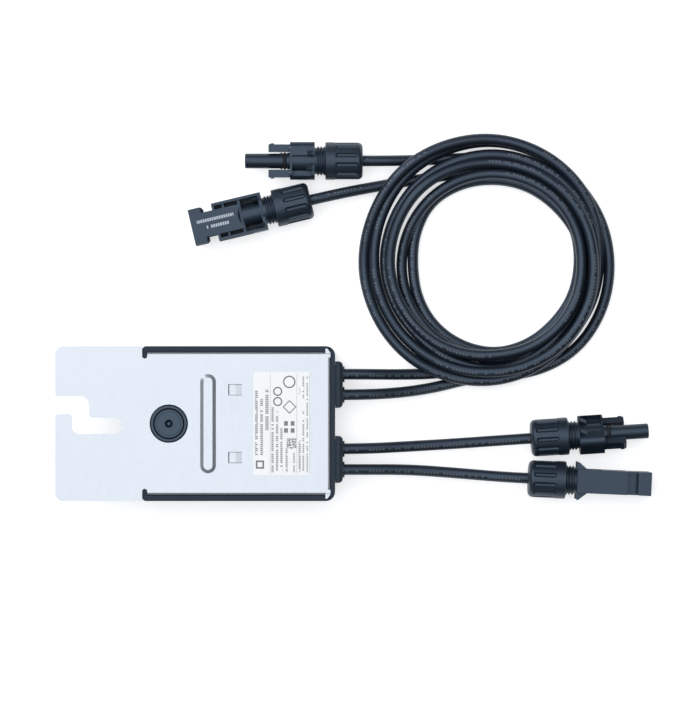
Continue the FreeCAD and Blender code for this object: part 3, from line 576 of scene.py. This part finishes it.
# --- the lock button's shadow lines, mm: radius, half width, strength ----------------
BUTTON_X = -15.0
BUTTON_SHADES = [(7.2, 0.42, 0.9), (5.85, 0.16, 0.45), (1.35, 0.6, 0.95), (8.9, 0.25, 0.8)]


def typed(finish, along, row, pitch):
    """Where ink falls in a line of plain dashes that stand for letters and gaps."""
    letter = along / pitch
    return (finish.chance(letter.floor(), row) > 0.2) * (letter.fraction() < LETTER_SHARE)


def label_film(name):
    """White film printed with generic rows, rules, rings, a diamond, blocks and a square code."""
    finish = Finish(name)
    metres_x, metres_y, _ = finish.axes()
    x, y = metres_x / MM, metres_y / MM
    rows = 0.0
    for across, low, high, half in LABEL_ROWS:
        rows = (x.near(across, half) * y.near((low + high) / 2, (high - low) / 2)).or_more(rows)
    ink = rows * typed(finish, y, (x / ROW_PITCH).floor(), LETTER) * 0.72
    for across in LABEL_RULES:
        ink = ink.or_more(x.near(across, RULE_HALF) * y.near(0.0, RULE_REACH) * 0.45)
    for across, along, radius in LABEL_RINGS:
        reach = ((x - across) * (x - across) + (y - along) * (y - along)).root()
        ink = ink.or_more(reach.near(radius, RING_HALF) * 0.9)
    slant = abs(x - DIAMOND[0]) + abs(y - DIAMOND[1])
    ink = ink.or_more(slant.near(DIAMOND_REACH, DIAMOND_HALF) * 0.85)
    grid_x, grid_y = abs(x - BLOCKS[0]), abs(y - BLOCKS[1])
    blocks = grid_x.near(BLOCK_OUT[0], BLOCK_HALF[0]) * grid_y.near(BLOCK_OUT[1], BLOCK_HALF[1])
    ink = ink.or_more(blocks * 0.85)
    code = finish.chance((x / CODE_CELL).floor(), (y / CODE_CELL).floor()) > 0.5
    code = code * x.near(CODE[0], CODE_HALF[0]) * y.near(CODE[1], CODE_HALF[1])
    ink = ink.or_more(code * 0.8)
    edge = abs(x - SQUARE[0]).or_more(abs(y - SQUARE[1]))
    ink = ink.or_more(edge.near(SQUARE_REACH, SQUARE_HALF) * 0.9)
    grain = finish.noise(700.0, 2.0)
    film = finish.mix(grain, (0.80, 0.82, 0.84), (0.88, 0.90, 0.92))
    finish.set(Base_Color=finish.mix(ink, film, (0.06, 0.065, 0.08)),
               Roughness=0.38 + (grain - 0.5) * 0.1 + ink * 0.15,
               Normal=finish.bump(grain, 0.000004, 0.4))
    return finish


def printed_connector(name, connector):
    """The connector's plastic, with two pale generic rows of print on top, and painted shade in its
    recesses.
    """
    finish, drift, _ = plastic_skin(name, CONNECTOR_GLOSS)
    (rear_x, rear_y, rear_z), heading = CONNECTORS[connector]
    cosine, sine = math.cos(math.radians(heading)), math.sin(math.radians(heading))
    metres_x, metres_y, metres_z = finish.axes()
    x, y, z = metres_x / MM - rear_x, metres_y / MM - rear_y, metres_z / MM - rear_z
    along, across = x * cosine + y * sine, y * cosine - x * sine
    rows = 0.0
    for row_along, row_across in PRINT_ROWS:
        rows = (across.near(*row_across) * along.near(*row_along)).or_more(rows)
    letters = typed(finish, along, (across / PRINT_PITCH).floor(), PRINT_LETTER)
    ink = rows * letters * (z > PRINT_ABOVE)
    # painted shade: the low recesses far along the housing are darkened to the shadow colour and made
    # rougher
    recess_shade = (z < RECESS_SHADE_BELOW) * (along > RECESS_SHADE_FROM)
    plastic = finish.mix(recess_shade, finish.mix(drift, *CONNECTOR_TONES), SHADOW)
    finish.set(Base_Color=finish.mix(ink * 0.75, plastic, (0.55, 0.60, 0.66)),
               Roughness=0.38 + drift * 0.12 + recess_shade * 0.5)
    return finish


def ringed_button(name):
    """The button's plastic, with shadow lines in its rings, round its centre and at its edge."""
    finish, drift, _ = plastic_skin(name, CASING_GLOSS)
    metres_x, metres_y, _ = finish.axes()
    across, along = metres_x / MM - BUTTON_X, metres_y / MM
    reach = (across * across + along * along).root()
    shade = 0.0
    for radius, half_width, strength in BUTTON_SHADES:
        shade = (reach.near(radius, half_width) * strength).or_more(shade)
    finish.set(Base_Color=finish.mix(shade, finish.mix(drift, *BUTTON_TONES), SHADOW),
               Roughness=0.40 + drift * 0.1 + shade * 0.5)
    return finish


SLOT_FINISHES = {
    "black_casing": lambda n: moulded_plastic(n, (0.004, 0.007, 0.011), (0.010, 0.014, 0.020), 0.40),
    "black_connector": lambda n: moulded_plastic(n, *CONNECTOR_TONES, 0.44, CONNECTOR_GLOSS),
    "black_button": ringed_button,
    "cable_sheath": cable_sheath,
    "bracket_metal": mill_sheet,
    "white_label": label_film,
    "potting_compound": lambda n: moulded_plastic(n, (0.03, 0.03, 0.032), (0.05, 0.05, 0.055), 0.35),
    "green_board": lambda n: moulded_plastic(n, (0.01, 0.09, 0.03), (0.015, 0.14, 0.05), 0.32),
    "zinc_steel": lambda n: bare_metal(n, (0.55, 0.55, 0.52), (0.68, 0.68, 0.66), 0.35),
    "ferrite": lambda n: moulded_plastic(n, (0.06, 0.06, 0.065), (0.09, 0.09, 0.095), 0.55,
                                         grain=1500.0),
    "copper": lambda n: bare_metal(n, (0.55, 0.22, 0.10), (0.70, 0.32, 0.16), 0.30),
    "capacitor_can": lambda n: bare_metal(n, (0.55, 0.57, 0.60), (0.66, 0.68, 0.71), 0.28),
    "chip_black": lambda n: moulded_plastic(n, (0.02, 0.02, 0.021), (0.03, 0.03, 0.032), 0.55),
    "grey_pad": lambda n: moulded_plastic(n, (0.32, 0.34, 0.37), (0.40, 0.42, 0.45), 0.75),
    "spreader_aluminium": lambda n: bare_metal(n, (0.62, 0.63, 0.65), (0.76, 0.77, 0.79), 0.34),
    "seal_rubber": lambda n: moulded_plastic(n, (0.010, 0.010, 0.011), (0.020, 0.020, 0.022), 0.62),
    "contact_metal": lambda n: bare_metal(n, (0.66, 0.66, 0.64), (0.80, 0.80, 0.78), 0.22),
}


def repaint(node, material):
    for holder in node.material_slots:
        holder.material = material


def dress_nodes(cords, webs):
    """Give every piece the finish of its slot, then the three nodes with one of their own."""
    finishes = {slot: make(slot).material for slot, make in SLOT_FINISHES.items()}
    for part in RECORD["subparts"]:
        repaint(NODES[part["node"]], finishes[part["material_slot"]])
    repaint(NODES["output_wide_housing"], printed_connector("printed_connector", "output_wide").material)
    boot = moulded_plastic("gland_boot", *GLAND_TONES, 0.5, gloss=0.7).material
    for name in ("output_gland", "input_gland"):
        repaint(NODES[name], boot)
    for cord in cords:
        cord.data.materials.append(finishes["cable_sheath"])
    for web in webs:
        web.data.materials.append(finishes["seal_rubber"])


# --- floor and light ---------------------------------------------------------------
LIGHT_TARGET = (0.07, 0.04, 0.0)
FLOOR_HALF = 3.0
FLOOR_Z = -0.0002
SKY_TONE = (0.94, 0.97, 1.0, 1)
SKY_STRENGTH = 0.12
# name, spot and side in metres, power in watts
SOFTBOXES = [
    ("overhead_softbox", (-0.25, 0.35, 2.2), 2.8, 58.0),
    ("side_softbox", (-1.2, 1.2, 1.2), 1.0, 12.0),
]


def add_floor():
    corners = [(-FLOOR_HALF, -FLOOR_HALF), (FLOOR_HALF, -FLOOR_HALF), (FLOOR_HALF, FLOOR_HALF),
               (-FLOOR_HALF, FLOOR_HALF)]
    floor = new_piece("floor", [(x, y, FLOOR_Z) for x, y in corners], [[0, 1, 2, 3]])
    finish = Finish("floor_paper")
    finish.set(Base_Color=(0.66, 0.67, 0.68, 1), Roughness=0.9,
               Emission_Color=(0.98, 0.99, 1.0, 1), Emission_Strength=0.6)
    finish.shader.inputs["Specular IOR Level"].default_value = 0.1
    floor.data.materials.append(finish.material)


def add_light(name, spot, size, power):
    """A square softbox aimed at the object."""
    data = bpy.data.lights.new(name, "AREA")
    data.shape = "SQUARE"
    data.size = size
    data.energy = power
    light = bpy.data.objects.new(name, data)
    light.location = spot
    aim = Vector(LIGHT_TARGET) - Vector(spot)
    light.rotation_euler = aim.to_track_quat("-Z", "Y").to_euler()
    bpy.context.scene.collection.objects.link(light)


def add_lights():
    world = bpy.data.worlds.new("studio")
    world.use_nodes = True
    background = next(n for n in world.node_tree.nodes if n.type == "BACKGROUND")
    background.inputs["Color"].default_value = SKY_TONE
    background.inputs["Strength"].default_value = SKY_STRENGTH
    bpy.context.scene.world = world
    for name, spot, size, power in SOFTBOXES:
        add_light(name, spot, size, power)


add_camera()
cords = add_cords()
webs = [add_slot_webs(connector) for connector in WIDE_ROLLS]
dress_nodes(cords, webs)
add_floor()
add_lights()

bpy.context.scene.view_settings.view_transform = "Standard"
